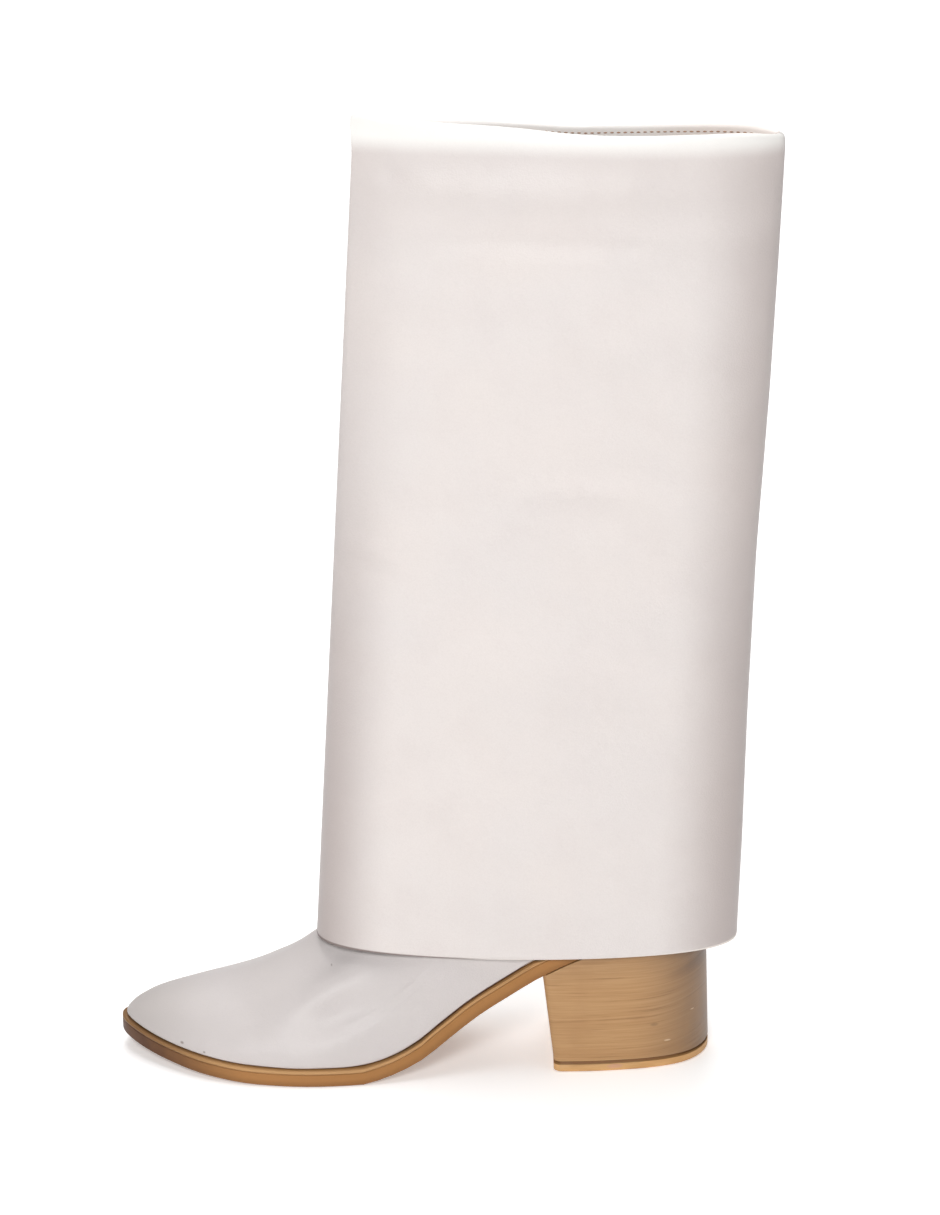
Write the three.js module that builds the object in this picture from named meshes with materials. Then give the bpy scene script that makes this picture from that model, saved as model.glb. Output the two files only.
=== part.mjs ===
// A fold-over boot with a stacked block heel, for the left foot.
// Millimetres, +Z up. The toe points to -X and the outer side of the foot is -Y.
// The origin is on the floor, under the middle of the heel's tread.
import * as THREE from "three";

// Sole and heel.
const OUTSOLE_LENGTH = 256;
const BALL_WIDTH = 84;
const SOLE_THICKNESS = 7;
const SOLE_ARRIS = 0.6; // chamfer along the edges of the sole
const TOE_SPRING = 7.2;
const SEAT_HEIGHT = 64.5; // floor to the underside of the sole, at the back of the seat
const HEEL_LENGTH = 68; // along the floor
const HEEL_TAPER = 2; // how much further forward the back of the heel stands at its top
const BREAST_RAKE = 5; // how much further forward the breast of the heel stands at its top
const BREAST_CORNER = 3; // rounding of the heel's front corners
const TOP_PIECE_HEIGHT = 4.8;
const GROOVE_HEIGHT = 1.3;
const GROOVE_DEPTH = 0.9;

// Foot and leg of the upper.
const SOLE_EDGE = 1.6; // rim of the sole left showing outside the upper
const UPPER_WALL = 1.6;
const LASTING_MARGIN = 9; // turned in under the foot
const INSTEP_HEIGHT = 81; // top of the sole to the ridge of the instep
const RIDGE_SHIFT = 1; // ridge of the instep to the inner side of the heel's centre line
const COUNTER_HEIGHT = 74; // top of the sole to the narrow of the ankle, at the back
const COUNTER_LEAN = 6; // how much further forward the back of the ankle stands
const INSOLE_THICKNESS = 2.5;
const INSOLE_EASE = 4.8; // insole to the inside of the upper at the feather line

// Folded cuff and collar.
const HEM_HEIGHT = 54.2;
const HEM_LIFT = 0.8; // how much higher the hem hangs along the sides
const HEM_LENGTH = 182.3;
const HEM_WIDTH = 0.8215 * BALL_WIDTH; // the cuff clears the ankle, which widens with the ball
const HEM_OVERHANG = 11.7; // cuff behind the back of the sole
const COLLAR_HEIGHT = 415; // floor to the crest of the fold, at the front
const COLLAR_DROP = 8; // how much lower the crest is at the back
const COLLAR_LENGTH = 175.8;
const COLLAR_WIDTH = 30;
const COLLAR_OVERHANG = 24.3; // fold behind the back of the sole
const CUFF_HOLLOW = 1.7; // how far the back of the cuff draws in between hem and collar
const CUFF_WALL = 1.4;
const FACING_DEPTH = 13; // crest of the fold to the sewn edge inside the leg

const GAP = 0.3; // between pieces that are lasted, glued or sewn together

// The sole's outline: how far its outer and inner edges lie from the heel's centre line, as shares
// of the ball width, from the toe (0) to the back of the heel (1).
const OUTLINE = [
  { at: 0, outer: -0.012, inner: 0.012 },
  { at: 0.025, outer: 0.155, inner: 0.15 },
  { at: 0.076, outer: 0.3, inner: 0.274 },
  { at: 0.156, outer: 0.448, inner: 0.393 },
  { at: 0.235, outer: 0.517, inner: 0.455 },
  { at: 0.327, outer: 0.538, inner: 0.462 },
  { at: 0.406, outer: 0.518, inner: 0.42 },
  { at: 0.508, outer: 0.456, inner: 0.345 },
  { at: 0.609, outer: 0.393, inner: 0.298 },
  { at: 0.713, outer: 0.364, inner: 0.326 },
  { at: 0.789, outer: 0.357, inner: 0.35 },
  { at: 0.867, outer: 0.332, inner: 0.332 },
  { at: 0.914, outer: 0.301, inner: 0.301 },
  { at: 0.958, outer: 0.242, inner: 0.242 },
  { at: 1, outer: 0, inner: 0 },
];

// Height of the sole's underside over the floor, as shares of the toe spring and the seat height.
const TREAD = [
  { at: 0, toe: 1, seat: 0 },
  { at: 0.05, toe: 0.69, seat: 0 },
  { at: 0.1, toe: 0.44, seat: 0 },
  { at: 0.15, toe: 0.25, seat: 0 },
  { at: 0.2, toe: 0.11, seat: 0 },
  { at: 0.25, toe: 0.03, seat: 0 },
  { at: 0.3, toe: 0, seat: 0 },
  { at: 0.406, toe: 0, seat: 0 },
  { at: 0.457, toe: 0, seat: 0.045 },
  { at: 0.508, toe: 0, seat: 0.133 },
  { at: 0.559, toe: 0, seat: 0.285 },
  { at: 0.609, toe: 0, seat: 0.437 },
  { at: 0.662, toe: 0, seat: 0.573 },
  { at: 0.713, toe: 0, seat: 0.698 },
  { at: 0.793, toe: 0, seat: 0.85 },
  { at: 0.867, toe: 0, seat: 0.938 },
  { at: 0.934, toe: 0, seat: 0.981 },
  { at: 1, toe: 0, seat: 1 },
];

// Ridge of the vamp over the sole, as shares of the instep height, and how full its section is:
// 2 is an ellipse, less is peaked and more is square.
const VAMP = [
  { at: 0, height: 0, full: 2.4 },
  { at: 0.012, height: 0.055, full: 2.4 },
  { at: 0.031, height: 0.108, full: 2.4 },
  { at: 0.076, height: 0.175, full: 2.3 },
  { at: 0.137, height: 0.234, full: 2.2 },
  { at: 0.188, height: 0.282, full: 2.1 },
  { at: 0.23, height: 0.342, full: 2 },
  { at: 0.27, height: 0.414, full: 1.85 },
  { at: 0.312, height: 0.508, full: 1.65 },
  { at: 0.35, height: 0.603, full: 1.5 },
  { at: 0.41, height: 0.77, full: 1.35 },
  { at: 0.474, height: 1, full: 1.3 },
  { at: 0.51, height: 1.25, full: 1.3 },
  { at: 0.528, height: 1.45, full: 1.35 },
  { at: 0.64, height: 2.2, full: 1.6 },
  { at: 1, height: 4, full: 2 },
];

// The rings of the foot, from the feather line to the narrow of the ankle: where each meets the
// ridge, as a share of the outsole's length, and how high it is at the back and how far it leans in
// there, as shares of the counter's height and lean.
const FOOT = [
  { front: 0.0015, back: 0.03, lean: -0.1 },
  { front: 0.007, back: 0.07, lean: -0.18 },
  { front: 0.02, back: 0.12, lean: -0.22 },
  { front: 0.05, back: 0.19, lean: -0.22 },
  { front: 0.1, back: 0.27, lean: -0.16 },
  { front: 0.165, back: 0.36, lean: -0.05 },
  { front: 0.23, back: 0.45, lean: 0.12 },
  { front: 0.29, back: 0.55, lean: 0.36 },
  { front: 0.345, back: 0.65, lean: 0.62 },
  { front: 0.4, back: 0.75, lean: 0.84 },
  { front: 0.455, back: 0.85, lean: 0.96 },
  { front: 0.5, back: 0.93, lean: 1 },
  { front: 0.528, back: 1, lean: 1 },
];

// The cuff from the hem (0) to the crest of the fold (1): its width between the hem's and the
// collar's, the hollow of its back, how far its fullest place moves back, and how blunt its ends are.
const CUFF = [
  { at: 0, narrow: 0, hollow: 0, slack: 1, blunt: 0.72 },
  { at: 0.13, narrow: 0.052, hollow: 0.15, slack: 1, blunt: 0.74 },
  { at: 0.3, narrow: 0.192, hollow: 0.8, slack: 1.08, blunt: 0.77 },
  { at: 0.5, narrow: 0.392, hollow: 1, slack: 1.2, blunt: 0.8 },
  { at: 0.7, narrow: 0.592, hollow: 0.15, slack: 1.4, blunt: 0.8 },
  { at: 0.86, narrow: 0.78, hollow: 0, slack: 1.65, blunt: 0.79 },
  { at: 0.955, narrow: 0.89, hollow: 0, slack: 1.83, blunt: 0.78 },
  { at: 1, narrow: 1, hollow: 0, slack: 1.9, blunt: 0.78 },
];

// How much of the collar's drop the crest has made, from front (0) to back (1).
const CREST = [
  { at: 0, drop: -0.04 },
  { at: 0.06, drop: 0.12 },
  { at: 0.15, drop: 0.35 },
  { at: 0.3, drop: 0.58 },
  { at: 0.4, drop: 0.7 },
  { at: 0.52, drop: 0.82 },
  { at: 0.65, drop: 0.77 },
  { at: 0.76, drop: 0.69 },
  { at: 0.89, drop: 0.64 },
  { at: 1, drop: 0.9 },
];

const POINTS = 72; // round each ring of the upper, the cuff and the insole
const SOLE_POINTS = 128;
const HEEL_POINTS = 48;
const SIDE_STEPS = 240; // along the side that a ring's points are taken from
const LEG_RINGS = 5;
const LEG_HOLD = 1.15; // over 1, the leg keeps the shape of the ankle for longer
const FOLD_RINGS = 4; // round the outside of the fold

const HEEL_BACK = HEEL_LENGTH / 2;
const TOE_TIP = HEEL_BACK - OUTSOLE_LENGTH;
const FOLD_RADIUS = (2 * CUFF_WALL + UPPER_WALL + 2 * GAP) / 2;

const lerp = THREE.MathUtils.lerp;
const clamp = THREE.MathUtils.clamp;
const smoothstep = THREE.MathUtils.smoothstep;

// The smooth curve through one column of a table. It never swings past its rows.
function column(rows, key, place = (at) => at) {
  const xs = rows.map((row) => place(row.at));
  const ys = rows.map((row) => row[key]);
  const steps = xs.slice(1).map((x, i) => (ys[i + 1] - ys[i]) / (x - xs[i]));
  const slopes = xs.map((_, i) => {
    const before = steps[Math.max(i - 1, 0)];
    const after = steps[Math.min(i, steps.length - 1)];
    return before * after <= 0 ? 0 : (2 * before * after) / (before + after);
  });
  return (at) => {
    const x = clamp(at, xs[0], xs[xs.length - 1]);
    const i = Math.max(xs.findIndex((next) => next >= x) - 1, 0);
    const span = xs[i + 1] - xs[i];
    const t = (x - xs[i]) / span;
    const bend = slopes[i] * (1 - t) - slopes[i + 1] * t;
    const turn = (ys[i + 1] - ys[i]) * (1 - 2 * t);
    return lerp(ys[i], ys[i + 1], t) + t * (1 - t) * (span * bend - turn);
  };
}

// Round ends come from an angle that runs from 0 at the toe to half a turn at the heel.
const share = (angle) => (1 - Math.cos(angle)) / 2;
const angleAt = (at) => Math.acos(1 - 2 * clamp(at, 0, 1));
const isOuter = (angle) => angle < Math.PI;
const folded = (angle) => (isOuter(angle) ? angle : 2 * Math.PI - angle);

// The angles of a ring's points. They start half a step from the toe, so each has its partner
// straight across the ring.
function angles(count) {
  return Array.from({ length: count }, (_, i) => (2 * Math.PI * (i + 0.5)) / count);
}

const outerEdge = column(OUTLINE, "outer", angleAt);
const innerEdge = column(OUTLINE, "inner", angleAt);
const toeLift = column(TREAD, "toe");
const seatLift = column(TREAD, "seat");
const ridgeHeight = column(VAMP, "height", angleAt);
const ridgeFull = column(VAMP, "full");
const narrow = column(CUFF, "narrow");
const hollow = column(CUFF, "hollow");
const slack = column(CUFF, "slack");
const blunt = column(CUFF, "blunt");
const crestDrop = column(CREST, "drop");

const placeOf = (x) => (x - TOE_TIP) / OUTSOLE_LENGTH;

function underside(x) {
  const at = placeOf(x);
  return toeLift(at) * TOE_SPRING + seatLift(at) * SEAT_HEIGHT;
}

function treadSlope(x) {
  const step = 0.5;
  return (underside(x + step) - underside(x - step)) / (2 * step);
}

// The sole's thickness is measured square to its tread, so it is taller where the waist is steep.
const soleTop = (x) => underside(x) + SOLE_THICKNESS * Math.hypot(1, treadSlope(x));

const halfWidth = (at) => ((innerEdge(angleAt(at)) + outerEdge(angleAt(at))) / 2) * BALL_WIDTH;
const centreLine = (at) => ((innerEdge(angleAt(at)) - outerEdge(angleAt(at))) / 2) * BALL_WIDTH;

// One side of a closed outline, from its front to its back and measured from its centre line, moved
// inwards by a distance and cut off where it crosses that line.
function drawnIn(side, distance) {
  if (distance === 0) return side;
  const last = side.length - 1;
  const moved = side.map((p, i) => {
    const before = side[Math.max(i - 1, 0)];
    const after = side[Math.min(i + 1, last)];
    const along = new THREE.Vector2(after.x - before.x, after.y - before.y).normalize();
    return new THREE.Vector2(p.x + along.y * distance, p.y - along.x * distance);
  });
  const first = moved.findIndex((p, i) => i > 0 && p.y > 0);
  const end = moved.findLastIndex((p, i) => i < last && p.y > 0);
  const crossing = (a, b) => new THREE.Vector2(lerp(a.x, b.x, a.y / (a.y - b.y)), 0);
  const front = crossing(moved[first - 1], moved[first]);
  const back = crossing(moved[end + 1], moved[end]);
  return [front, ...moved.slice(first, end + 1), back];
}

// The ring of points that a side and its mirror image make round a centre line.
function ringOf(side, count, centre = () => 0) {
  const front = side[0].x;
  const back = side[side.length - 1].x;
  return angles(count).map((angle) => {
    const x = lerp(front, back, share(folded(angle)));
    const i = clamp(side.findIndex((p) => p.x >= x), 1, side.length - 1);
    const half = lerp(side[i - 1].y, side[i].y, (x - side[i - 1].x) / (side[i].x - side[i - 1].x));
    return new THREE.Vector2(x, centre(x) + (isOuter(angle) ? -half : half));
  });
}

const sideShares = Array.from({ length: SIDE_STEPS + 1 }, (_, i) => share((Math.PI * i) / SIDE_STEPS));

// The sole's outline, or one drawn inside it, seen from above.
function outline(distance, count = POINTS) {
  const side = sideShares.map((at) => new THREE.Vector2(TOE_TIP + at * OUTSOLE_LENGTH, halfWidth(at)));
  return ringOf(drawnIn(side, distance), count, (x) => centreLine(placeOf(x)));
}

const raised = (ring, height) => ring.map((p) => new THREE.Vector3(p.x, p.y, height(p.x)));

// A closed solid from rings of points that all run the same way round. Its first and last rings are
// closed across, or joined to each other.
function ringSolid(rings, isTube = false) {
  const count = rings[0].length;
  const index = [];
  const quad = (a, b, c, d) => index.push(a, b, c, a, c, d);
  const bands = isTube ? rings.length : rings.length - 1;
  for (let r = 0; r < bands; r++) {
    const here = r * count;
    const next = ((r + 1) % rings.length) * count;
    for (let i = 0; i < count; i++) {
      const j = (i + 1) % count;
      quad(here + i, here + j, next + j, next + i);
    }
  }
  if (!isTube) {
    const top = (rings.length - 1) * count;
    for (let i = 0; i < count / 2 - 1; i++) {
      const across = count - 1 - i;
      quad(i, across, across - 1, i + 1);
      quad(top + i, top + i + 1, top + across - 1, top + across);
    }
  }
  const geometry = new THREE.BufferGeometry();
  const position = rings.flat().flatMap((p) => [p.x, p.y, p.z]);
  geometry.setAttribute("position", new THREE.Float32BufferAttribute(position, 3));
  geometry.setIndex(index);
  return geometry;
}

function outsole() {
  const edge = outline(0, SOLE_POINTS);
  const chamfered = outline(SOLE_ARRIS, SOLE_POINTS);
  return ringSolid([
    raised(chamfered, underside),
    raised(edge, (x) => underside(x) + SOLE_ARRIS),
    raised(edge, (x) => soleTop(x) - SOLE_ARRIS),
    raised(chamfered, soleTop),
  ]);
}

// A ring of the heel between its front and back. It follows the outline of the seat, with a flat
// breast whose corners are rounded.
function heelRing(breast, back, cut = 0) {
  return angles(HEEL_POINTS).map((angle) => {
    const x = lerp(breast + cut, back - cut, share(folded(angle)));
    const toSeat = HEEL_BACK - (back - cut - x);
    const at = placeOf(toSeat);
    const fromCorner = Math.max(BREAST_CORNER - (x - breast - cut), 0);
    const corner = BREAST_CORNER - Math.sqrt(BREAST_CORNER ** 2 - fromCorner ** 2);
    const half = Math.max(halfWidth(at) - cut - corner, GAP / 2);
    return new THREE.Vector2(x, centreLine(at) + (isOuter(angle) ? -half : half));
  });
}

function heelBlock() {
  const foot = TOP_PIECE_HEIGHT + GAP;
  const low = heelRing(-HEEL_BACK, HEEL_BACK);
  const high = heelRing(-HEEL_BACK - BREAST_RAKE, HEEL_BACK - HEEL_TAPER);
  return ringSolid([raised(low, () => foot), raised(high, (x) => underside(x) - GAP)]);
}

function heelTopPiece() {
  const edge = heelRing(-HEEL_BACK, HEEL_BACK);
  const neck = heelRing(-HEEL_BACK, HEEL_BACK, GROOVE_DEPTH);
  const shoulder = TOP_PIECE_HEIGHT - GROOVE_HEIGHT;
  return ringSolid([
    raised(heelRing(-HEEL_BACK, HEEL_BACK, SOLE_ARRIS), () => 0),
    raised(edge, () => SOLE_ARRIS),
    raised(edge, () => shoulder),
    raised(neck, () => shoulder),
    raised(neck, () => TOP_PIECE_HEIGHT),
  ]);
}

const featherTop = (x) => soleTop(x) + GAP;

// A ring of the foot. Its height over the sole runs from the ridge in front to the counter behind,
// and the section of the last gives its width there.
function footRing({ front, back, lean }) {
  const ridge = ridgeHeight(angleAt(front)) * INSTEP_HEIGHT;
  const leanIn = lean * COUNTER_LEAN;
  const length = OUTSOLE_LENGTH - 2 * SOLE_EDGE;
  const tip = TOE_TIP + SOLE_EDGE;
  return angles(POINTS).map((angle) => {
    const along = share(folded(angle));
    const x = lerp(tip + front * length, HEEL_BACK - SOLE_EDGE - leanIn, along);
    const rise = lerp(ridge, back * COUNTER_HEIGHT, smoothstep(along, 0, 1));
    const at = (x + leanIn * along ** 2 - tip) / length;
    const full = ridgeFull(at);
    const climb = clamp(rise / (ridgeHeight(angleAt(at)) * INSTEP_HEIGHT), 0, 1);
    const edge = halfWidth(at) * (1 - (2 * SOLE_EDGE) / BALL_WIDTH);
    const half = edge * (1 - climb ** full) ** (1 / full);
    const centre = lerp(centreLine(at), RIDGE_SHIFT, climb);
    return new THREE.Vector3(x, centre + (isOuter(angle) ? -half : half), featherTop(x) + rise);
  });
}

// A ring of the cuff at a share of its height, moved inwards by a distance and downwards by a drop.
function cuffRing(at, distance, drop = 0) {
  const straight = HEEL_BACK + lerp(HEM_OVERHANG, COLLAR_OVERHANG, at);
  const back = straight - hollow(at) * CUFF_HOLLOW;
  const front = straight - lerp(HEM_LENGTH, COLLAR_LENGTH, at);
  const half = lerp(HEM_WIDTH, COLLAR_WIDTH, narrow(at)) / 2;
  const side = sideShares.map((along) => {
    const bulge = Math.sin(angleAt(along ** slack(at))) ** blunt(at);
    return new THREE.Vector2(lerp(front, back, along), half * bulge);
  });
  return ringOf(drawnIn(side, distance), POINTS).map((p) => {
    const along = clamp((p.x - front) / (back - front), 0, 1);
    const hem = HEM_HEIGHT + HEM_LIFT * Math.sin(angleAt(along)) ** 2;
    const crest = COLLAR_HEIGHT - COLLAR_DROP * crestDrop(along);
    return new THREE.Vector3(p.x, p.y, lerp(hem, crest, at) - drop);
  });
}

const CUFF_HEIGHT = COLLAR_HEIGHT - HEM_HEIGHT;
const FOLD_AT = 1 - FOLD_RADIUS / CUFF_HEIGHT;
const FACING_AT = 1 - FACING_DEPTH / CUFF_HEIGHT;
const SEWN_AT = FACING_AT - 2 * GAP / CUFF_HEIGHT;

function foldoverCuff() {
  const heights = CUFF.map((row) => row.at * FOLD_AT);
  const around = (radius, rings) =>
    Array.from({ length: rings }, (_, i) => {
      const turn = (Math.PI * (i + 1)) / (rings + 1);
      return cuffRing(1, FOLD_RADIUS - radius * Math.cos(turn), FOLD_RADIUS - radius * Math.sin(turn));
    });
  const inner = 2 * FOLD_RADIUS;
  return ringSolid(
    [
      ...heights.map((at) => cuffRing(at, 0)),
      ...around(FOLD_RADIUS, FOLD_RINGS),
      cuffRing(FOLD_AT, inner),
      cuffRing(FACING_AT, inner),
      cuffRing(FACING_AT, inner - CUFF_WALL),
      cuffRing(FOLD_AT, inner - CUFF_WALL),
      ...around(FOLD_RADIUS - CUFF_WALL, FOLD_RINGS - 1).reverse(),
      ...heights.toReversed().map((at) => cuffRing(at, CUFF_WALL)),
    ],
    true,
  );
}

// The inside of a wall: the same rings, moved in square to the surface.
function lined(rings, wall) {
  const side = new THREE.Vector3();
  const up = new THREE.Vector3();
  return rings.map((ring, r) =>
    ring.map((p, i) => {
      side.subVectors(ring[(i + 1) % ring.length], ring[(i + ring.length - 1) % ring.length]);
      up.subVectors(rings[Math.min(r + 1, rings.length - 1)][i], rings[Math.max(r - 1, 0)][i]);
      return p.clone().addScaledVector(up.cross(side).normalize(), wall);
    }),
  );
}

function upper() {
  const feather = raised(outline(SOLE_EDGE), featherTop);
  const foot = [feather, ...FOOT.map(footRing)];
  const ankle = foot[foot.length - 1];
  const footInside = lined(foot, UPPER_WALL).slice(2);
  const ankleInside = footInside[footInside.length - 1];
  const outside = CUFF_WALL + GAP;
  const inside = outside + UPPER_WALL;
  const leg = (from, distance) => {
    const top = cuffRing(SEWN_AT, distance);
    return Array.from({ length: LEG_RINGS }, (_, s) => {
      const rise = (s + 1) / LEG_RINGS;
      return from.map((p, i) => {
        const moved = p.clone().lerp(top[i], rise ** LEG_HOLD);
        moved.z = lerp(p.z, top[i].z, rise);
        return moved;
      });
    });
  };
  const wallInside = outline(SOLE_EDGE + UPPER_WALL);
  const margin = outline(SOLE_EDGE + LASTING_MARGIN);
  const marginTop = (x) => featherTop(x) + UPPER_WALL;
  return ringSolid(
    [
      raised(margin, featherTop),
      ...foot,
      ...leg(ankle, outside),
      cuffRing(FOLD_AT, outside),
      cuffRing(FOLD_AT, inside),
      ...leg(ankleInside, inside).reverse(),
      ...footInside.toReversed(),
      raised(wallInside, marginTop),
      raised(margin, marginTop),
    ],
    true,
  );
}

function insole() {
  const edge = outline(SOLE_EDGE + UPPER_WALL + INSOLE_EASE);
  const base = (x) => featherTop(x) + UPPER_WALL + GAP;
  return ringSolid([raised(edge, base), raised(edge, (x) => base(x) + INSOLE_THICKNESS)]);
}

const ivory = new THREE.MeshStandardMaterial({ color: 0xe6dfdb, roughness: 0.42 });
const lining = new THREE.MeshStandardMaterial({ color: 0xe4d8cb, roughness: 0.75 });
const tan = new THREE.MeshStandardMaterial({ color: 0xb98b5a, roughness: 0.55 });
const stacked = new THREE.MeshStandardMaterial({ color: 0xbd9162, roughness: 0.5 });
const tread = new THREE.MeshStandardMaterial({ color: 0xb58755, roughness: 0.7 });

const boot = new THREE.Group();

function add(name, geometry, material) {
  const mesh = new THREE.Mesh(geometry, material);
  mesh.name = name;
  boot.add(mesh);
}

add("outsole", outsole(), tan);
add("heel_block", heelBlock(), stacked);
add("heel_top_piece", heelTopPiece(), tread);
add("insole", insole(), lining);
add("upper", upper(), ivory.clone());
add("foldover_cuff", foldoverCuff(), ivory);

export default boot;
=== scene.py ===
import math

import bmesh
import bpy
import numpy as np
from mathutils import Matrix, Vector, noise
from mathutils.bvhtree import BVHTree


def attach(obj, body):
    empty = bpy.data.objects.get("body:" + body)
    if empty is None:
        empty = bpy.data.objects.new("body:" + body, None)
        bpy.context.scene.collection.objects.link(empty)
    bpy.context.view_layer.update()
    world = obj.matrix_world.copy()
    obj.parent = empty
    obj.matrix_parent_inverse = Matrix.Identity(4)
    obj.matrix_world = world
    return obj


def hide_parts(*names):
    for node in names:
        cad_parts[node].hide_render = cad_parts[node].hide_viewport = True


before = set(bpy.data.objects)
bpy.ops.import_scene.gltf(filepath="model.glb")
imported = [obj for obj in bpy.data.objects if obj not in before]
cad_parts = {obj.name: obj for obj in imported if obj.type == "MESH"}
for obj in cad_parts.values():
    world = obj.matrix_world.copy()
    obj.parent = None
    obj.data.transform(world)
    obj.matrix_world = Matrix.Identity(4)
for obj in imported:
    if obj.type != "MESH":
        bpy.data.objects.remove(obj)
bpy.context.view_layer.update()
MM = 0.001

# Outsole
# A moulded rubber sole with a painted highlight along its top edge; its toe is burnished darker and
# painted darker still as shade.
# It is glued under the lasted upper and climbs the waist to the seat of the heel.


def welded(node):
    """The solid's own surface with its loose triangles merged back into four-sided faces."""
    mesh = bmesh.new()
    mesh.from_mesh(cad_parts[node].data)
    bmesh.ops.remove_doubles(mesh, verts=mesh.verts, dist=0.01 * MM)
    bmesh.ops.join_triangles(
        mesh,
        faces=mesh.faces,
        angle_face_threshold=math.radians(60),
        angle_shape_threshold=math.radians(70),
    )
    return mesh


def make_piece(name, mesh, subdivisions=0, sharp_angle=40):
    """A new object of this mesh, smooth but for its sharp edges, with its subdivision applied."""
    data = bpy.data.meshes.new(name)
    mesh.to_mesh(data)
    mesh.free()
    piece = bpy.data.objects.new(name, data)
    bpy.context.scene.collection.objects.link(piece)
    if subdivisions:
        rounding = piece.modifiers.new("Rounding", "SUBSURF")
        rounding.levels = subdivisions
        rounding.render_levels = subdivisions
        graph = bpy.context.evaluated_depsgraph_get()
        smooth = bpy.data.meshes.new_from_object(piece.evaluated_get(graph))
        piece.modifiers.clear()
        piece.data = smooth
        bpy.data.meshes.remove(data)
    piece.data.shade_smooth()
    if sharp_angle:
        piece.data.set_sharp_from_angle(angle=math.radians(sharp_angle))
    return piece


def places(piece):
    """The points of a piece, as rows of x, y and z."""
    points = np.zeros(len(piece.data.vertices) * 3)
    piece.data.vertices.foreach_get("co", points)
    return points.reshape(-1, 3)


def facings(piece):
    """The directions in which the points of a piece face."""
    normals = np.zeros(len(piece.data.vertices) * 3)
    piece.data.vertices.foreach_get("normal", normals)
    return normals.reshape(-1, 3)


def mark(piece, name, values):
    """Keeps one number for each point of a piece, which its finish can read."""
    layer = piece.data.attributes.new(name, "FLOAT", "POINT")
    layer.data.foreach_set("value", np.asarray(values, np.float32))


class Field:
    """A number that varies over a surface. Sums and products of fields add Math nodes."""

    def __init__(self, finish, socket):
        self.finish = finish
        self.socket = socket

    def math(self, operation, *values):
        return self.finish.node("ShaderNodeMath", {"operation": operation}, dict(enumerate(values)))

    def __add__(self, other):
        return self.math("ADD", self, other)

    __radd__ = __add__

    def __sub__(self, other):
        return self.math("SUBTRACT", self, other)

    def __rsub__(self, other):
        return self.math("SUBTRACT", other, self)

    def __mul__(self, other):
        return self.math("MULTIPLY", self, other)

    __rmul__ = __mul__

    def __truediv__(self, other):
        return self.math("DIVIDE", self, other)

    def size(self):
        return self.math("ABSOLUTE", self)

    def wave(self):
        return self.math("SINE", self)

    def between(self, low, high):
        """0 below low, 1 above high and a soft step in between; the other way round if low > high."""
        settings = {"interpolation_type": "SMOOTHSTEP"}
        values = {0: self, 1: min(low, high), 2: max(low, high)}
        step = self.finish.node("ShaderNodeMapRange", settings, values)
        return step if low < high else 1 - step


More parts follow.
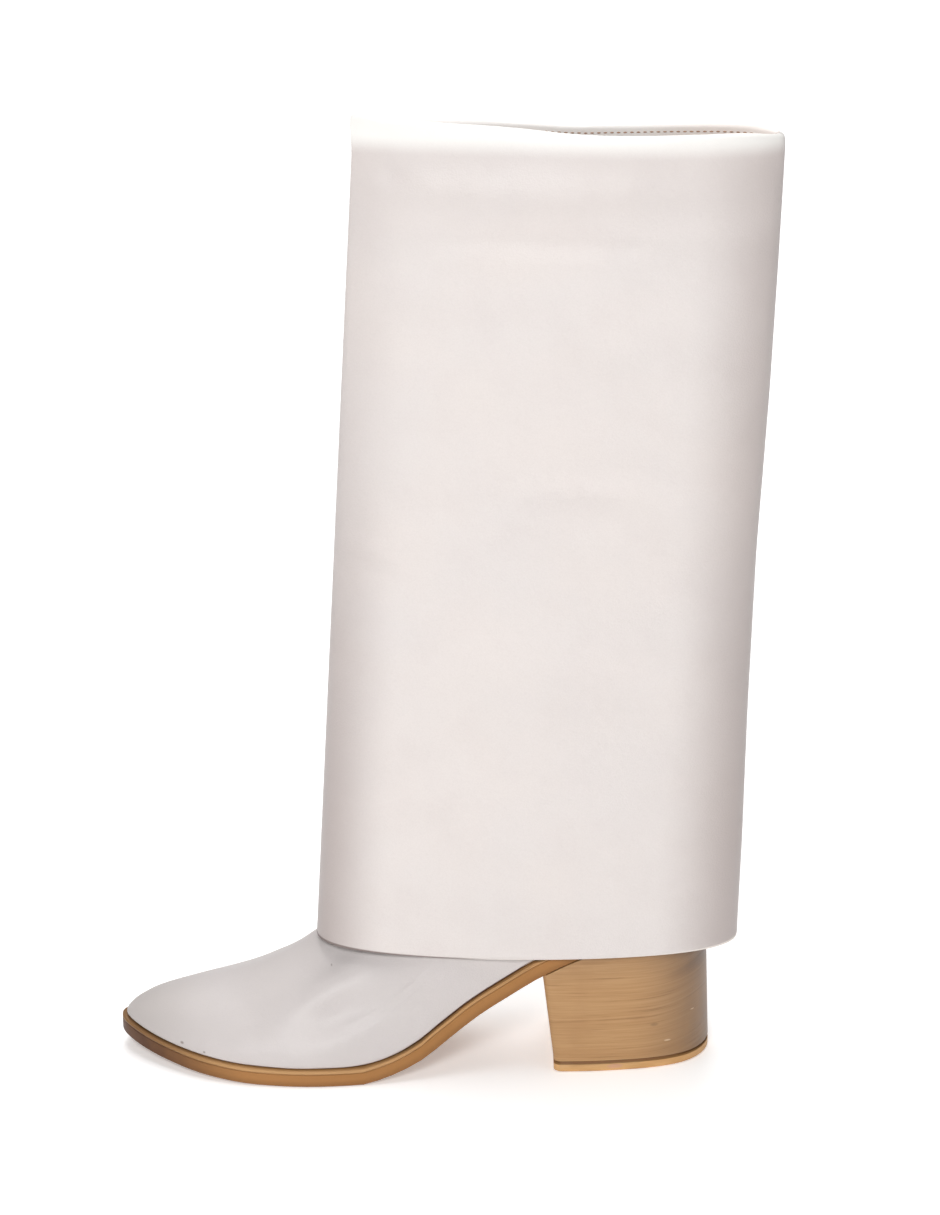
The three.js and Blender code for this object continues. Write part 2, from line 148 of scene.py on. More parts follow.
class Finish:
    """A material built from expressions, with one shader at its end."""

    def __init__(self, name, **constants):
        self.material = bpy.data.materials.new(name)
        self.material.use_nodes = True
        self.tree = self.material.node_tree
        self.tree.nodes.clear()
        self.shader = self.tree.nodes.new("ShaderNodeBsdfPrincipled")
        output = self.tree.nodes.new("ShaderNodeOutputMaterial")
        self.tree.links.new(self.shader.outputs[0], output.inputs[0])
        for socket, value in constants.items():
            self.shader.inputs[socket.replace("_", " ")].default_value = value
        self.place = self.node("ShaderNodeTexCoord", {}, {}, "Object")

    def node(self, kind, settings, inputs, output=0):
        made = self.tree.nodes.new(kind)
        for key, value in settings.items():
            setattr(made, key, value)
        for key, value in inputs.items():
            if isinstance(value, Field):
                self.tree.links.new(value.socket, made.inputs[key])
            else:
                made.inputs[key].default_value = value
        return Field(self, made.outputs[output])

    def feed(self, socket, value):
        self.tree.links.new(value.socket, self.shader.inputs[socket])

    def attribute(self, name):
        return self.node("ShaderNodeAttribute", {"attribute_name": name}, {}, "Fac")

    def along(self, axis):
        return self.node("ShaderNodeSeparateXYZ", {}, {0: self.place}, axis)

    def stretched(self, x, y, z):
        """The place on the piece with its axes stretched, for a pattern that runs one way."""
        return self.node("ShaderNodeMapping", {}, {"Vector": self.place, "Scale": (x, y, z)})

    def speckle(self, size, detail=2.0, at=None, roughness=0.5):
        """Soft noise about 0.5, whose spots are about this many metres across."""
        inputs = {"Vector": at or self.place, "Scale": 1 / size, "Detail": detail, "Roughness": roughness}
        return self.node("ShaderNodeTexNoise", {}, inputs, "Fac")

    def pores(self, size):
        """The cells of a fine leather grain: 0 in their middles, more along their borders."""
        inputs = {"Vector": self.place, "Scale": 1 / size}
        return self.node("ShaderNodeTexVoronoi", {"feature": "F1"}, inputs, "Distance")

    def spot(self, centre, radii):
        """1 at a place given in millimetres, fading to 0 at its radii."""
        middle = tuple(value * MM for value in centre)
        away = self.node("ShaderNodeVectorMath", {"operation": "SUBTRACT"}, {0: self.place, 1: middle})
        reach = tuple(value * MM for value in radii)
        shares = self.node("ShaderNodeVectorMath", {"operation": "DIVIDE"}, {0: away, 1: reach})
        far = self.node("ShaderNodeVectorMath", {"operation": "LENGTH"}, {0: shares}, "Value")
        return far.between(1.0, 0.45)

    def blend(self, share, first, second):
        """A colour between two others. Each is a field or a triple of sRGB bytes."""
        inputs = {0: share, 6: self.colour(first), 7: self.colour(second)}
        return self.node("ShaderNodeMix", {"data_type": "RGBA"}, inputs, 2)

    @staticmethod
    def colour(value):
        """A triple of sRGB bytes as a linear colour with alpha; a field stays as it is."""
        if isinstance(value, Field):
            return value
        shares = [byte / 255 for byte in value]
        linear = [s / 12.92 if s < 0.04045 else ((s + 0.055) / 1.055) ** 2.4 for s in shares]
        return (*linear, 1)

    def bumps(self, height, depth, under=None):
        """Relief of this depth in metres, over another relief if there is one."""
        inputs = {"Height": height, "Distance": depth, "Strength": 1.0}
        if under:
            inputs["Normal"] = under
        return self.node("ShaderNodeBump", {}, inputs, "Normal")


SOLE_TAN = (171, 120, 68)
SOLE_RIM_HIGHLIGHT = (208, 166, 116)
SOLE_DEEP_BROWN = (70, 34, 6)
SOLE_STREAK = (164, 114, 63)
TREAD_TAN = (150, 106, 62)
TREAD_PITCH = 4.2 * MM
RIB_DEPTH = 0.5 * MM
RIM_GROOVE = 0.35 * MM
RIM_SHARE = 0.84
GROOVE_SHARE = 0.83
LEVEL_FACE = 25 * MM**2
TOE_END = -214 * MM
TOE_TONE_START = -160 * MM

sole_mesh = welded("outsole")
caps = [face for face in sole_mesh.faces if face.calc_area() > LEVEL_FACE and abs(face.normal.z) > 0.5]
top_line = sorted({(v.co.x, v.co.z) for face in caps if face.normal.z > 0 for v in face.verts})
tread_line = sorted({(v.co.x, v.co.z) for face in caps if face.normal.z < 0 for v in face.verts})
sole = make_piece("sole", sole_mesh, sharp_angle=30)
sole_points = places(sole)
sole_top = np.interp(sole_points[:, 0], *np.array(top_line).T)
sole_low = np.interp(sole_points[:, 0], *np.array(tread_line).T)
mark(sole, "rise", (sole_points[:, 2] - sole_low) / (sole_top - sole_low))

sole_finish = Finish("Tan moulded rubber", IOR=1.36)
rise = sole_finish.attribute("rise")
rim_highlight = rise.between(RIM_SHARE, 0.9)
toe_shade_and_burnish = sole_finish.along("X").between(TOE_TONE_START, TOE_END)
lower = rise.between(0.5, 0.1)
streaks = sole_finish.speckle(14 * MM, 4.0, sole_finish.stretched(0.25, 0.25, 2.5))
mottle = sole_finish.speckle(7 * MM, 3.0)
sole_colour = sole_finish.blend((streaks - 0.35) * 0.9, SOLE_TAN, SOLE_STREAK)
# Darker towards the bottom of the edge.
sole_colour = sole_finish.blend(lower * 0.26, sole_colour, SOLE_DEEP_BROWN)
# Painted shade at the toe end, where it turns away from the light, over a darker burnished toe.
sole_colour = sole_finish.blend(toe_shade_and_burnish * (0.74 + mottle * 0.3), sole_colour, SOLE_DEEP_BROWN)
# Painted highlight: a lighter line along the top edge of the sole, weaker at the toe.
sole_colour = sole_finish.blend(rim_highlight * (0.6 - toe_shade_and_burnish * 0.35), sole_colour, SOLE_RIM_HIGHLIGHT)
under = rise.between(0.03, 0.0)
sole_colour = sole_finish.blend(under * 0.35, sole_colour, TREAD_TAN)
sole_finish.feed("Base Color", sole_colour)
sole_finish.feed("Roughness", 0.42 + streaks * 0.16 + under * 0.18)
waves = sole_finish.speckle(26 * MM, 1.0) * 10 + sole_finish.along("X") / TREAD_PITCH * 2 * math.pi
ribs = waves.wave().between(-0.25, 0.35)
tread_relief = sole_finish.bumps(ribs * under, RIB_DEPTH)
groove_line = (rise - GROOVE_SHARE).size().between(0.05, 0.0)
edge_relief = sole_finish.bumps(1 - groove_line, RIM_GROOVE, tread_relief)
sole_finish.feed("Normal", sole_finish.bumps(mottle, 0.12 * MM, edge_relief))
sole.data.materials.clear()
sole.data.materials.append(sole_finish.material)
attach(sole, "root")
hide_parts("outsole")

# Heel block
# A moulded block wrapped to look like stacked leather lifts: fine level lines that sweep up
# towards the back, with a few scuffs. It is screwed and glued to the seat of the sole.
HEEL_TAN = (181, 137, 88)
HEEL_DARK = (134, 94, 54)
HEEL_LIGHT = (193, 150, 102)
HEEL_BAND = (168, 123, 76)
HEEL_SWEEP = (96, 62, 34)
HEEL_SHADE = (98, 76, 60)
HEEL_CLOUD = (170, 126, 80)
HEEL_SMUDGE = (104, 76, 50)
HEEL_SCUFF = (224, 198, 166)
LIFT_PITCH = 0.8 * MM
LIFT_SWEEP = 5 * MM
BREAST_X = -4 * MM
BACK_X = 38 * MM

heel = make_piece("heel", welded("heel_block"), sharp_angle=35)
heel_finish = Finish("Stacked heel wrap", IOR=1.5, Coat_Weight=0.12, Coat_Roughness=0.3)
back_share = heel_finish.along("X").between(BREAST_X, BACK_X)
level = heel_finish.along("Z") - back_share * back_share * LIFT_SWEEP
grain_place = heel_finish.node(
    "ShaderNodeCombineXYZ",
    {},
    {0: heel_finish.along("X") * 0.02, 1: heel_finish.along("Y") * 0.02, 2: level},
)
lifts = heel_finish.speckle(LIFT_PITCH, 3.0, grain_place, 0.65)
wide_lifts = heel_finish.speckle(5.5 * MM, 1.0, grain_place)
dark_lines = lifts.between(0.4, 0.3)
heel_cloud = heel_finish.speckle(16 * MM, 3.0)
heel_colour = heel_finish.blend(lifts.between(0.35, 0.7), HEEL_TAN, HEEL_LIGHT)
heel_colour = heel_finish.blend(wide_lifts.between(0.5, 0.32) * 0.2, heel_colour, HEEL_BAND)
heel_colour = heel_finish.blend(dark_lines * 0.5, heel_colour, HEEL_DARK)
top_back = heel_finish.along("Z").between(36 * MM, 52 * MM) * back_share.between(0.3, 0.8)
back_lines = wide_lifts.between(0.5, 0.4) * top_back
heel_colour = heel_finish.blend(back_lines * 0.75, heel_colour, HEEL_SWEEP)
# Painted shade: the heel darker towards its top under the cuff and towards its back.
shade = heel_finish.along("Z").between(38 * MM, 58 * MM)
heel_colour = heel_finish.blend(shade * 0.25 + back_share * 0.75, heel_colour, HEEL_SHADE)
heel_colour = heel_finish.blend(heel_cloud.between(0.5, 0.75) * 0.25, heel_colour, HEEL_CLOUD)
smudge = heel_finish.spot((9.5, -28, 20.6), (2.4, 8, 1.1)) * heel_cloud
heel_colour = heel_finish.blend(smudge * 0.6, heel_colour, HEEL_SMUDGE)
arc_scuff = heel_finish.spot((15.2, -25, 12.4), (1.9, 8, 0.5))
dash_scuff = heel_finish.spot((26, -16, 24.1), (1.1, 5, 0.3))
heel_colour = heel_finish.blend((arc_scuff + dash_scuff) * 0.6, heel_colour, HEEL_SCUFF)
heel_finish.feed("Base Color", heel_colour)
heel_finish.feed("Roughness", 0.36 + lifts * 0.22)
heel_finish.feed("Normal", heel_finish.bumps(lifts, 0.18 * MM, heel_finish.bumps(wide_lifts, 0.15 * MM)))
heel.data.materials.clear()
heel.data.materials.append(heel_finish.material)
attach(heel, "root")
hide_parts("heel_block")

# Heel top piece
# The hard rubber lift that meets the floor, a little more orange than the block.
# A shallow groove at its top hides the joint; it is nailed on from below.
TOP_TAN = (220, 172, 114)
TOP_DEEP = (206, 157, 100)
TOP_RUBBED = (140, 98, 60)
TOP_WORN = (214, 160, 138)
TOP_GROOVE = (122, 82, 46)
GROOVE_LEVEL = 3.35 * MM

top_piece = make_piece("top_piece", welded("heel_top_piece"), sharp_angle=35)
top_finish = Finish("Tan hard rubber", IOR=1.5)
top_cloud = top_finish.speckle(6 * MM, 3.0, top_finish.stretched(0.4, 0.4, 1.6))
in_groove = top_finish.along("Z").between(GROOVE_LEVEL, GROOVE_LEVEL + 0.25 * MM)
floor_rub = top_finish.along("Z").between(1.2 * MM, 0.0) * top_cloud.between(0.3, 0.6)
top_colour = top_finish.blend(top_cloud.between(0.35, 0.7), TOP_TAN, TOP_DEEP)
top_colour = top_finish.blend(floor_rub * 0.5, top_colour, TOP_RUBBED)
worn = top_finish.spot((-7.5, -29, 2.2), (4.5, 8, 1.4))
top_colour = top_finish.blend(worn * 0.55, top_colour, TOP_WORN)
top_colour = top_finish.blend(in_groove * 0.8, top_colour, TOP_GROOVE)
top_finish.feed("Base Color", top_colour)
top_finish.feed("Roughness", 0.46 + top_cloud * 0.2)
top_finish.feed("Normal", top_finish.bumps(top_cloud, 0.1 * MM))
top_piece.data.materials.clear()
top_piece.data.materials.append(top_finish.material)
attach(top_piece, "root")
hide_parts("heel_top_piece")

# Insole
# A full sock of soft beige lining leather over a thin board, glued on the lasting margin.
SOCK_BEIGE = (226, 211, 194)
SOCK_DEEP = (214, 198, 178)
SOCK_GRAIN = (190, 172, 150)

insole = make_piece("insole", welded("insole"), sharp_angle=35)
insole_finish = Finish("Beige lining leather", IOR=1.45)
sock_cloud = insole_finish.speckle(22 * MM, 3.0)
sock_grain = insole_finish.pores(0.9 * MM)
sock_colour = insole_finish.blend(sock_cloud.between(0.3, 0.7), SOCK_BEIGE, SOCK_DEEP)
insole_finish.feed("Base Color", insole_finish.blend(sock_grain * 0.25, sock_colour, SOCK_GRAIN))
insole_finish.feed("Roughness", 0.6 + sock_cloud * 0.15)
insole_finish.feed("Normal", insole_finish.bumps(sock_grain, 0.1 * MM))
insole.data.materials.clear()
insole.data.materials.append(insole_finish.material)
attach(insole, "root")
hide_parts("insole")

# Upper
# The foot and the leg under the cuff: smooth off-white leather, lined, lasted over the foot.
# Soft creases fan out over the instep where the foot bends, in front of the hem.
IVORY = (229, 222, 219)
IVORY_DEEP = (214, 205, 204)
IVORY_WARM = (233, 224, 219)
LEATHER_PORE = (176, 160, 156)
VAMP_WARM = (222, 215, 216)
VAMP_SHADE_GREY = (201, 194, 192)
TOE_SHADE_GREY = (184, 177, 173)
FEATHER_GLUE_AND_SHADE = (74, 46, 34)
SPECK = (110, 92, 82)
LINING = (228, 214, 196)
HEM_LEVEL = 54 * MM
CREST_LEVEL = 414 * MM
ROLL_LEVEL = 397 * MM
FOOT_LEVEL = 60 * MM
LASTING_LEVEL = 12 * MM
FOOT_MIDDLES = (-170 * MM, 20 * MM)
LEG_MIDDLE = -45 * MM
MOUTH_FRONT = -118 * MM
MOUTH_BACK = 59 * MM

# Each crease of the instep seen from its side: its ends (x, z), width and depth, in millimetres.
VAMP_CREASES = (
    {"from": (-146, 40), "to": (-124, 50), "width": 4.2, "depth": 1.3, "side": -1},
    {"from": (-150, 29), "to": (-118, 43), "width": 5.0, "depth": -1.1, "side": -1},
    {"from": (-140, 22), "to": (-112, 34), "width": 6.0, "depth": 1.0, "side": -1},
    {"from": (-172, 30), "to": (-156, 18), "width": 6.0, "depth": 0.4, "side": -1},
    {"from": (-146, 39), "to": (-126, 49), "width": 4.2, "depth": 0.8, "side": 1},
    {"from": (-150, 27), "to": (-120, 41), "width": 5.0, "depth": -0.7, "side": 1},
)


def moved_to(piece, points):
    """Puts the points of a piece in these places."""
    piece.data.vertices.foreach_set("co", points.ravel())
    piece.data.update()


def moved_out(piece, distance):
    """Moves the points of a piece along the way they face."""
    moved_to(piece, places(piece) + facings(piece) * distance[:, None])


def waviness(points, span):
    """Slow noise at each of these points, in waves about this many metres long."""
    return np.array([noise.noise(Vector(point) / span) for point in points])


def creased(points, creases):
    """How deep each point lies in these soft troughs, each with a low ridge along both its sides."""
    depth = np.zeros(len(points))
    for crease in creases:
        start = np.array(crease["from"]) * MM
        run = np.array(crease["to"]) * MM - start
        seen = points[:, [0, 2]] - start
        share = np.clip(seen @ run / (run @ run), 0, 1)
        away = np.linalg.norm(seen - share[:, None] * run, axis=1) / (crease["width"] * MM)
        fade = np.sin(np.pi * np.clip(share * 0.9 + 0.05, 0, 1)) ** 0.7
        near = np.clip(points[:, 1] * crease["side"] / (5 * MM), 0, 1)
        trough = np.exp(-(away**2)) - 0.35 * np.exp(-((away - 1.9) ** 2))
        depth += near * fade * crease["depth"] * trough
    return depth


# Each crease of the leg and its cuff, on the outer (-1) or the inner side, given in the same way.
LEG_CREASES = (
    {"from": (-112, 368), "to": (50, 367), "width": 7, "depth": 1.1, "side": -1},
    {"from": (-54, 262), "to": (6, 260), "width": 5.5, "depth": 1.0, "side": -1},
    {"from": (-60, 250), "to": (-20, 247), "width": 9, "depth": 0.6, "side": -1},
    {"from": (-120, 237), "to": (-98, 226), "width": 4, "depth": 0.9, "side": -1},
    {"from": (-108, 118), "to": (-62, 139), "width": 8, "depth": 0.7, "side": -1},
    {"from": (-118, 412), "to": (-98, 386), "width": 6, "depth": 1.1, "side": -1},
    {"from": (-30, 320), "to": (34, 330), "width": 11, "depth": 0.6, "side": -1},
    {"from": (-90, 300), "to": (-40, 312), "width": 12, "depth": 0.6, "side": -1},
    {"from": (-84, 186), "to": (10, 176), "width": 13, "depth": 0.6, "side": -1},
    {"from": (-108, 366), "to": (46, 369), "width": 7.5, "depth": 0.6, "side": 1},
    {"from": (-70, 288), "to": (-8, 280), "width": 7, "depth": 0.5, "side": 1},
    {"from": (-116, 226), "to": (-88, 214), "width": 5, "depth": 0.5, "side": 1},
    {"from": (-60, 160), "to": (20, 174), "width": 10, "depth": 0.45, "side": 1},
)


def pressed_flat(points):
    """The leg or its cuff pressed shut at the front of the mouth, with its dents sunk in."""
    height = points[:, 2]
    along = np.clip((points[:, 0] - MOUTH_FRONT) / (MOUTH_BACK - MOUTH_FRONT), 0, 1)
    top = np.clip((height - 376 * MM) / (34 * MM), 0, 1) ** 2
    pinch = 0.34 * np.exp(-(((along - 0.32) / 0.26) ** 2))
    corner = np.clip((0.06 - along) / 0.06, 0, 1) * np.clip((height - 400 * MM) / (12 * MM), 0, 1)
    moved = points.copy()
    moved[:, 0] -= 1.6 * MM * corner
    moved[:, 1] *= 1 - pinch * top
    moved[:, 2] += 1.2 * MM * corner + 5 * MM * pinch * top
    below_roll = np.exp(-(((height - ROLL_LEVEL) / (8 * MM)) ** 2))
    curl = np.clip((height - 396 * MM) / (13 * MM), 0, 1) ** 2
    sway = waviness(points, 58 * MM) + 0.4 * waviness(points, 23 * MM)
    off_hem = np.clip((height - HEM_LEVEL - 2 * MM) / (20 * MM), 0, 1)
    sunk = 1.4 * creased(points, LEG_CREASES) + 1.4 * below_roll + 0.9 * curl - 1.15 * off_hem * sway
    off_fold = np.clip(np.abs(points[:, 1]) / (8 * MM), 0, 1)
    leg = np.clip((height - HEM_LEVEL) / (10 * MM), 0, 1)
    moved[:, 1] -= np.sign(points[:, 1]) * sunk * off_fold * leg * MM
    return moved


upper_mesh = welded("upper")
upper = make_piece("upper_leather", upper_mesh, subdivisions=2, sharp_angle=0)
moved_to(upper, pressed_flat(places(upper)))
upper_points = places(upper)
upper_normals = facings(upper)
middle = np.zeros_like(upper_points)
in_foot = upper_points[:, 2] < FOOT_LEVEL
middle[:, 0] = np.where(in_foot, np.clip(upper_points[:, 0], *FOOT_MIDDLES), LEG_MIDDLE)
middle[:, 2] = np.clip(upper_points[:, 2], 0, LASTING_LEVEL)
spoke = upper_points - middle
spoke[:, 2] *= in_foot
outside = np.einsum("ij,ij->i", upper_normals, spoke) > 0
dent = creased(upper_points, VAMP_CREASES)
sway = waviness(upper_points, 21 * MM)
moved_out(upper, np.where(outside, (sway * 0.25 - dent) * MM, 0))
mark(upper, "inside", np.where(outside, 0, 1))
feather = np.interp(upper_points[:, 0], *np.array(top_line).T)
mark(upper, "over_sole", upper_points[:, 2] - feather)


def leather(name, deep, warm):
    """Off-white smooth leather with a very fine grain, soft clouds of tone and a low sheen."""
    finish = Finish(name, IOR=1.45, Coat_Weight=0.06, Coat_Roughness=0.35)
    cloud = finish.speckle(48 * MM, 3.0)
    patch = finish.speckle(19 * MM, 3.0)
    pore = finish.pores(0.75 * MM)
    colour = finish.blend(cloud.between(0.3, 0.75) * 0.5, IVORY, warm)
    colour = finish.blend(patch.between(0.4, 0.8) * 0.2, colour, deep)
    colour = finish.blend(pore * 0.08, colour, LEATHER_PORE)
    sheen = 0.36 + cloud * 0.12 + pore * 0.06
    relief = finish.bumps(pore, 0.05 * MM, finish.bumps(patch, 0.5 * MM, finish.bumps(cloud, 1.0 * MM)))
    return finish, colour, sheen, relief


upper_finish, colour, sheen, relief = leather("Off-white leather", IVORY_DEEP, VAMP_WARM)
# Painted shade: the foot leather greyer than the same leather of the cuff.
colour = upper_finish.blend(0.6, colour, VAMP_SHADE_GREY)
inside = upper_finish.attribute("inside").between(0.3, 0.7)
feather_dirt = upper_finish.spot((-194.2, -24, 13.1), (1.2, 9, 0.9))
feather_dirt = feather_dirt + upper_finish.spot((-184.4, -29, 11.3), (1.0, 9, 0.8))
instep_speck = upper_finish.spot((-129.7, -15, 45.1), (0.7, 5, 0.7))
# Painted shade darkening the toe, where it turns away from the light.
toward_toe = upper_finish.along("X").between(-178 * MM, TOE_END - 2 * MM)
colour = upper_finish.blend(toward_toe * 0.6, colour, TOE_SHADE_GREY)
colour = upper_finish.blend((feather_dirt + instep_speck) * 0.7, colour, SPECK)
waist = upper_finish.along("X").between(-116 * MM, -88 * MM)
over_sole = upper_finish.attribute("over_sole") - waist * 1.3 * MM
# A dark line on the foot just above the sole: partly the dark glue line of the lasting edge, partly
# painted shade of the gap, widest and darkest at the waist.
feather_glue_and_shade_line = over_sole.between(0.75 * MM, 0.25 * MM)
ragged = upper_finish.speckle(2.4 * MM, 2.0).between(0.4, 0.62)
colour = upper_finish.blend(feather_glue_and_shade_line * (0.3 + ragged * 0.35 + waist * 0.6), colour, FEATHER_GLUE_AND_SHADE)
colour = upper_finish.blend(inside, colour, LINING)
upper_finish.feed("Base Color", colour)
upper_finish.feed("Roughness", sheen + inside * 0.2)
upper_finish.feed("Normal", relief)
upper.data.materials.clear()
upper.data.materials.append(upper_finish.material)
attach(upper, "root")
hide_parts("upper")

# Fold-over cuff
# The leather of the leg turned down at the collar, so that it hangs outside as a wide flat sleeve
# with a raw cut hem. It is closed by one seam at the back and stitched inside the collar.
CUT_EDGE = (236, 228, 220)
CUFF_DEEP = (218, 208, 205)
CREST_HIGHLIGHT = (251, 250, 246)
BELOW_FOLD_SHADE = (206, 197, 194)
FOLD_SHADE_GREY = (166, 152, 148)
FACING_LIT_PALE = (250, 246, 243)
FACING_WARM = (236, 214, 202)
SEAM_BROWN = (170, 152, 142)
HEM_SHADOW_DARK = (96, 76, 74)
SEAM_HALF = 0.9 * MM
SEAM_DEPTH = 0.55 * MM
LONG_EDGE = 20 * MM
HEM_SHARPNESS = 0.85
HEM_AND_CREST = (HEM_LEVEL, CREST_LEVEL)
FRONT_FOLD = (-136.5 * MM, -117.5 * MM)
BACK_FOLD = (45.7 * MM, 58.3 * MM)
CUFF_MIDDLE = (-45.5 * MM, -29.5 * MM)

cuff_mesh = welded("foldover_cuff")
tall = [edge for edge in cuff_mesh.edges if abs(edge.verts[0].co.z - edge.verts[1].co.z) > LONG_EDGE]
bmesh.ops.subdivide_edges(cuff_mesh, edges=tall, cuts=4, use_grid_fill=True)
hem_low = min(v.co.z for v in cuff_mesh.verts)
sharpness = cuff_mesh.edges.layers.float.new("crease_edge")
for edge in cuff_mesh.edges:
    if all(v.co.z < hem_low + 1.2 * MM for v in edge.verts):
        edge[sharpness] = HEM_SHARPNESS
cuff = make_piece("cuff_leather", cuff_mesh, subdivisions=2, sharp_angle=50)
moved_to(cuff, pressed_flat(places(cuff)))
cuff_points = places(cuff)
cuff_normals = facings(cuff)
spine = np.interp(cuff_points[:, 2], HEM_AND_CREST, CUFF_MIDDLE)
spoke = np.stack([cuff_points[:, 0] - spine, cuff_points[:, 1] * 4, np.zeros(len(cuff_points))], 1)
outside = np.einsum("ij,ij->i", cuff_normals, spoke) > 0
behind = np.exp(-((cuff_points[:, 1] / SEAM_HALF) ** 2)) * (cuff_points[:, 0] > 0)
moved_out(cuff, np.where(outside, -SEAM_DEPTH * behind, 0))
mark(cuff, "over_hem", cuff_points[:, 2] - hem_low)
mark(cuff, "inside", np.where(outside, 0, 1))
front_edge = np.interp(cuff_points[:, 2], HEM_AND_CREST, FRONT_FOLD)
back_edge = np.interp(cuff_points[:, 2], HEM_AND_CREST, BACK_FOLD)
mark(cuff, "along", (cuff_points[:, 0] - front_edge) / (back_edge - front_edge))

cuff_finish, colour, sheen, relief = leather("Off-white cuff leather", CUFF_DEEP, IVORY_WARM)
forward = cuff_finish.along("X")
height = cuff_finish.along("Z")
over_hem = cuff_finish.attribute("over_hem")
facing = cuff_finish.attribute("inside").between(0.3, 0.7)
warm = facing * forward.between(-10 * MM, 35 * MM)
# The facing inside the mouth: its pale lining colour, made lighter still as painted light against the
# shade inside the mouth.
colour = cuff_finish.blend(facing, colour, FACING_LIT_PALE)
colour = cuff_finish.blend(warm * 0.3, colour, FACING_WARM)
along = cuff_finish.attribute("along")
low = height.between(330 * MM, 90 * MM)
# Painted shade: the cuff face greyer towards its back and front folds, more so lower down, where the
# surface turns away from the light.
painted_back_shade = along.between(0.78, 1.0) * (0.55 + low * 0.2)
painted_front_shade = along.between(0.17, 0.0) * (0.2 + low * 0.5)
face = 1 - facing
colour = cuff_finish.blend((painted_back_shade + painted_front_shade) * face, colour, FOLD_SHADE_GREY)
# Painted shade in a band under the rolled fold of the collar.
painted_shade_below_fold = height.between(406 * MM, 399 * MM) * height.between(352 * MM, 386 * MM)
colour = cuff_finish.blend(painted_shade_below_fold * face * 0.3, colour, BELOW_FOLD_SHADE)
# Painted highlight along the rolled crest of the collar.
crest_highlight = height.between(399 * MM, 408 * MM)
colour = cuff_finish.blend(crest_highlight * face * 0.8, colour, CREST_HIGHLIGHT)
beside_seam = cuff_finish.along("Y").size()
seam = beside_seam.between(0.8 * MM, 0.25 * MM) * forward.between(20 * MM, 40 * MM)
colour = cuff_finish.blend(seam * 0.45, colour, SEAM_BROWN)
cut = over_hem.between(1.3 * MM, 0.8 * MM)
colour = cuff_finish.blend(cut * 0.9, colour, CUT_EDGE)
# Painted shadow: a thin dark line along the bottom of the hem at the front, where the hem shades the foot
# below it.
painted_hem_shadow = over_hem.between(1.6 * MM, 1.0 * MM) * forward.between(-60 * MM, -78 * MM)
colour = cuff_finish.blend(painted_hem_shadow * 0.8, colour, HEM_SHADOW_DARK)
cuff_finish.feed("Base Color", colour)
cuff_finish.feed("Roughness", sheen + cut * 0.3)
cuff_finish.feed("Normal", cuff_finish.bumps(1 - seam, 0.5 * MM, relief))
cuff.data.materials.clear()
cuff.data.materials.append(cuff_finish.material)
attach(cuff, "root")
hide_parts("foldover_cuff")

# Collar stitching
# One row of brown thread inside the mouth, which holds the turned facing to the leg.
STITCH_LENGTH = 2.3
STITCH_PITCH = 2.7
STITCH_DROP = 3.3
STITCH_RADIUS = 0.4
THREAD_BROWN = (150, 116, 94)
THREAD_LIGHT = (190, 154, 128)

surface = BVHTree.FromPolygons(
    [v.co.copy() for v in cuff.data.vertices], [tuple(p.vertices) for p in cuff.data.polygons]
)
stitches = bmesh.new()
for side in (-1, 1):
    for x in np.arange(-104, 52, STITCH_PITCH):
        beside = (np.abs(cuff_points[:, 0] - x * MM) < 2.5 * MM) & (cuff_points[:, 1] * side > 0)
        height = cuff_points[beside, 2].max() - STITCH_DROP * MM
        hit, normal, _, _ = surface.ray_cast(Vector((x * MM, 0, height)), Vector((0, side, 0)), 40 * MM)
        if hit is None or abs(hit.y) < 1.5 * MM:
            continue
        ball = bmesh.ops.create_icosphere(stitches, subdivisions=1, radius=STITCH_RADIUS * MM)["verts"]
        along = normal.cross(Vector((0, 0, 1))).normalized()
        for v in ball:
            reach = v.co.x * STITCH_LENGTH
            v.co = hit + along * reach + normal * (v.co.y * 0.8) + Vector((0, 0, v.co.z * 0.9))
bmesh.ops.recalc_face_normals(stitches, faces=stitches.faces)
thread = make_piece("collar_stitching", stitches, sharp_angle=0)
thread_finish = Finish("Brown thread", IOR=1.45)
twist = thread_finish.speckle(0.5 * MM, 1.0)
thread_finish.feed("Base Color", thread_finish.blend(twist, THREAD_BROWN, THREAD_LIGHT))
thread_finish.feed("Roughness", 0.55 + twist * 0.2)
thread_finish.feed("Normal", thread_finish.bumps(twist, 0.08 * MM))
thread.data.materials.append(thread_finish.material)
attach(thread, "root")

# Floor, light and camera
# A pale floor that glows a little, a broad soft light over the part of it behind the boot and a
# smaller one high in front, to the toe side. The camera stands 1.7 m off on the outer side.
FLOOR_REACH = 40
FLOOR_DROP = 0.2 * MM
FLOOR_GLOW = 0.3
BACKDROP_GLOW = 0.14
EXPOSURE = 0.09

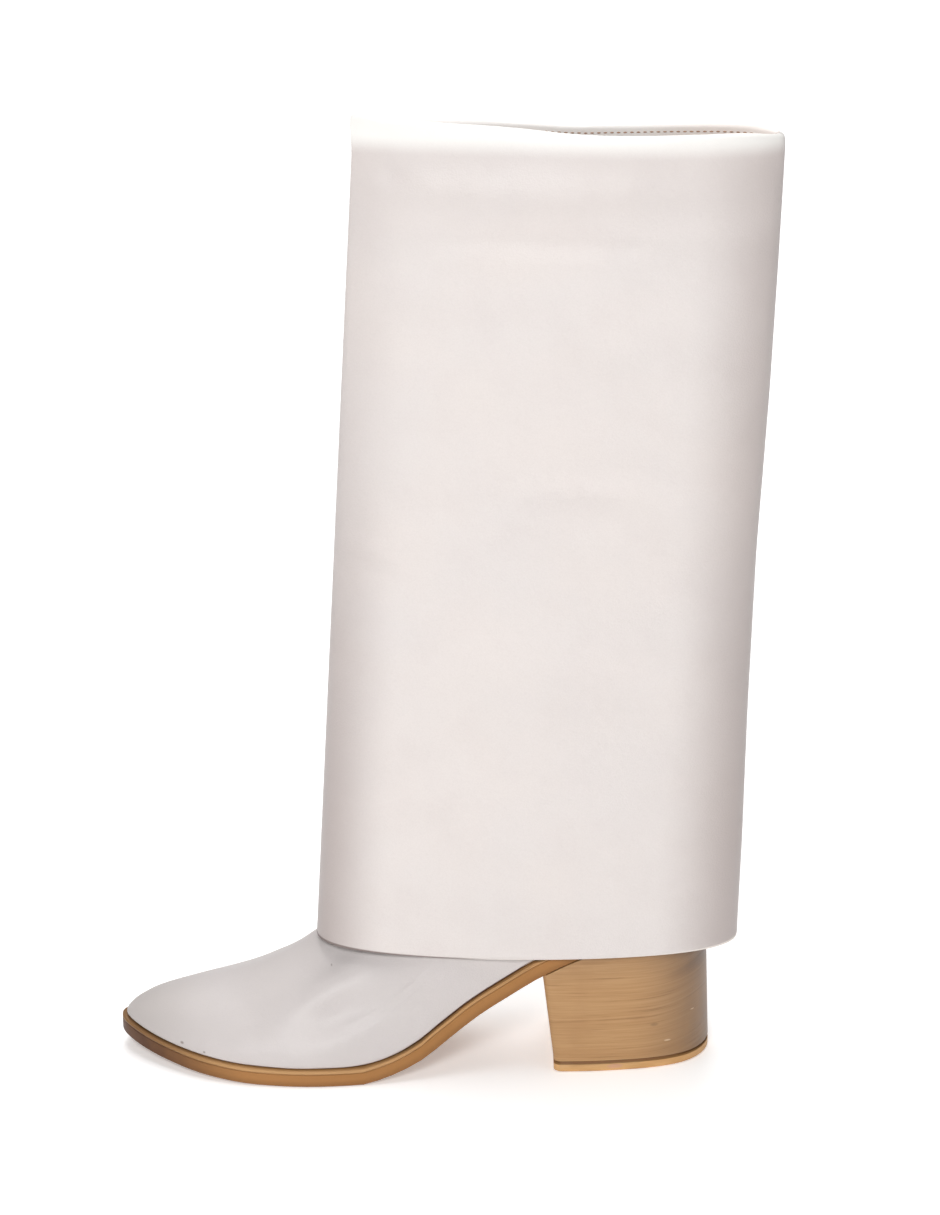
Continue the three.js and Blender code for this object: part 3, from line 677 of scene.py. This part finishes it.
floor_mesh = bmesh.new()
below = Matrix.Translation((0, 0, -FLOOR_DROP))
bmesh.ops.create_grid(floor_mesh, x_segments=1, y_segments=1, size=FLOOR_REACH, matrix=below)
floor = make_piece("floor", floor_mesh, sharp_angle=0)
floor_finish = Finish("Pale floor", Roughness=0.9)
paper = floor_finish.speckle(0.4, 1.0)
floor_finish.feed("Base Color", floor_finish.blend(paper, (250, 250, 250), (252, 252, 252)))
floor_finish.shader.inputs["Emission Color"].default_value = (1, 1, 1, 1)
floor_finish.shader.inputs["Emission Strength"].default_value = FLOOR_GLOW
floor.data.materials.append(floor_finish.material)


def softbox(name, place, aim, width, height, power):
    """A soft studio light of this size in metres, turned to a place."""
    data = bpy.data.lights.new(name, "AREA")
    data.shape = "RECTANGLE"
    data.size = width
    data.size_y = height
    data.energy = power
    light = bpy.data.objects.new(name, data)
    light.location = place
    light.rotation_euler = (Vector(aim) - Vector(place)).to_track_quat("-Z", "Y").to_euler()
    bpy.context.scene.collection.objects.link(light)


softbox("overhead", place=(-0.1, 1.4, 2.2), aim=(-0.1, 1.2, 0), width=1.5, height=4.4, power=60)
softbox("front", place=(-0.4, -2.1, 1.55), aim=(-0.05, 0, 0.26), width=0.7, height=0.6, power=28)

world = bpy.data.worlds.new("Studio")
world.use_nodes = True
backdrop = world.node_tree.nodes["Background"]
backdrop.inputs["Color"].default_value = (1, 1, 1, 1)
backdrop.inputs["Strength"].default_value = BACKDROP_GLOW
bpy.context.scene.world = world
bpy.context.scene.view_settings.view_transform = "Standard"
bpy.context.scene.view_settings.exposure = EXPOSURE

CAMERA_PLACE = (-0.0701, -1.7, 0.8291)
CAMERA_PITCH = 20.23
CAMERA_LENS = 127.19
camera_data = bpy.data.cameras.new("camera")
camera_data.sensor_fit = "VERTICAL"
camera_data.sensor_height = 36
camera_data.lens = CAMERA_LENS
camera = bpy.data.objects.new("camera", camera_data)
camera.location = CAMERA_PLACE
camera.rotation_euler = (math.radians(90 - CAMERA_PITCH), 0, 0)
bpy.context.scene.collection.objects.link(camera)
bpy.context.scene.camera = camera
